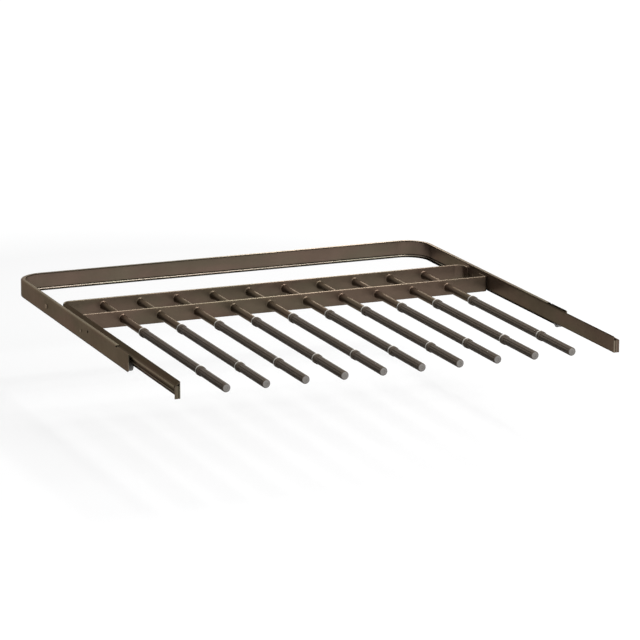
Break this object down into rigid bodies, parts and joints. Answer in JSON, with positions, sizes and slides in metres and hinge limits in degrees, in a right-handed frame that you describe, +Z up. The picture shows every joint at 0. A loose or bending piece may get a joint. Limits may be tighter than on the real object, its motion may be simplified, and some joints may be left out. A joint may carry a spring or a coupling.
{
  "type": "pull-out trouser rack",
  "caption": "Pull-out trouser rack: a carriage of parallel gripped rods on two crossbars and side rails, running on rollers in a bent channel frame.",
  "frame": {"origin": "middle of the back bar's rear face, at half the channel's height", "axes": "+X to the right seen from the front, -Y to the front, along the pull-out, +Z up; at rest the carriage stands 183 mm out of the frame, as in the picture"},
  "size_m": [0.7192, 0.73, 0.0326],
  "materials": {
    "painted_steel": "satin brown stove enamel",
    "grip_plastic": "matte, ribbed lengthways",
    "cap_plastic": "matte grey",
    "roller_plastic": "off-white, slightly glossy",
    "plated_steel": "zinc plated"
  },
  "bodies": {
    "frame": {"channel_frame": "painted_steel", "front_axle_left": "painted_steel", "front_axle_right": "painted_steel", "rear_mounting_peg_left": "plated_steel", "rear_mounting_peg_right": "plated_steel", "middle_mounting_peg_left": "plated_steel", "middle_mounting_peg_right": "plated_steel"},
    "carriage": {"rail_left": "painted_steel", "rail_right": "painted_steel", "rear_crossbar": "painted_steel", "front_crossbar": "painted_steel", "rear_axle_left": "painted_steel", "rear_axle_right": "painted_steel", "rod_1": "painted_steel", "rear_grip_1": "grip_plastic", "front_grip_1": "grip_plastic", "tip_cap_1": "cap_plastic", "rod_2": "painted_steel", "rear_grip_2": "grip_plastic", "front_grip_2": "grip_plastic", "tip_cap_2": "cap_plastic", "rod_3": "painted_steel", "rear_grip_3": "grip_plastic", "front_grip_3": "grip_plastic", "tip_cap_3": "cap_plastic", "rod_4": "painted_steel", "rear_grip_4": "grip_plastic", "front_grip_4": "grip_plastic", "tip_cap_4": "cap_plastic", "rod_5": "painted_steel", "rear_grip_5": "grip_plastic", "front_grip_5": "grip_plastic", "tip_cap_5": "cap_plastic", "rod_6": "painted_steel", "rear_grip_6": "grip_plastic", "front_grip_6": "grip_plastic", "tip_cap_6": "cap_plastic", "rod_7": "painted_steel", "rear_grip_7": "grip_plastic", "front_grip_7": "grip_plastic", "tip_cap_7": "cap_plastic", "rod_8": "painted_steel", "rear_grip_8": "grip_plastic", "front_grip_8": "grip_plastic", "tip_cap_8": "cap_plastic", "rod_9": "painted_steel", "rear_grip_9": "grip_plastic", "front_grip_9": "grip_plastic", "tip_cap_9": "cap_plastic", "rod_10": "painted_steel", "rear_grip_10": "grip_plastic", "front_grip_10": "grip_plastic", "tip_cap_10": "cap_plastic"},
    "front_roller_left": {"front_roller_left": "roller_plastic"},
    "front_roller_right": {"front_roller_right": "roller_plastic"},
    "rear_roller_left": {"rear_roller_left": "roller_plastic"},
    "rear_roller_right": {"rear_roller_right": "roller_plastic"}
  },
  "joints": [
    {"name": "carriage_slide", "type": "slide", "parent": "frame", "child": "carriage", "axis": [0, -1, 0], "range_m": [-0.165, 0.24]},
    {"name": "front_roller_left_spin", "type": "hinge", "parent": "frame", "child": "front_roller_left", "pos_m": [-0.35135, -0.5315, -0.0067], "axis": [1, 0, 0], "continuous": true},
    {"name": "front_roller_right_spin", "type": "hinge", "parent": "frame", "child": "front_roller_right", "pos_m": [0.35135, -0.5315, -0.0067], "axis": [1, 0, 0], "continuous": true},
    {"name": "rear_roller_left_spin", "type": "hinge", "parent": "carriage", "child": "rear_roller_left", "pos_m": [-0.3502, -0.233, 0], "axis": [1, 0, 0], "continuous": true},
    {"name": "rear_roller_right_spin", "type": "hinge", "parent": "carriage", "child": "rear_roller_right", "pos_m": [0.3502, -0.233, 0], "axis": [1, 0, 0], "continuous": true}
  ],
  "couplings": [
    {"joint": "front_roller_left_spin", "follows": "carriage_slide", "rad_per_m": 120.48},
    {"joint": "front_roller_right_spin", "follows": "carriage_slide", "rad_per_m": 120.48},
    {"joint": "rear_roller_left_spin", "follows": "carriage_slide", "rad_per_m": 80.321},
    {"joint": "rear_roller_right_spin", "follows": "carriage_slide", "rad_per_m": 80.321}
  ]
}
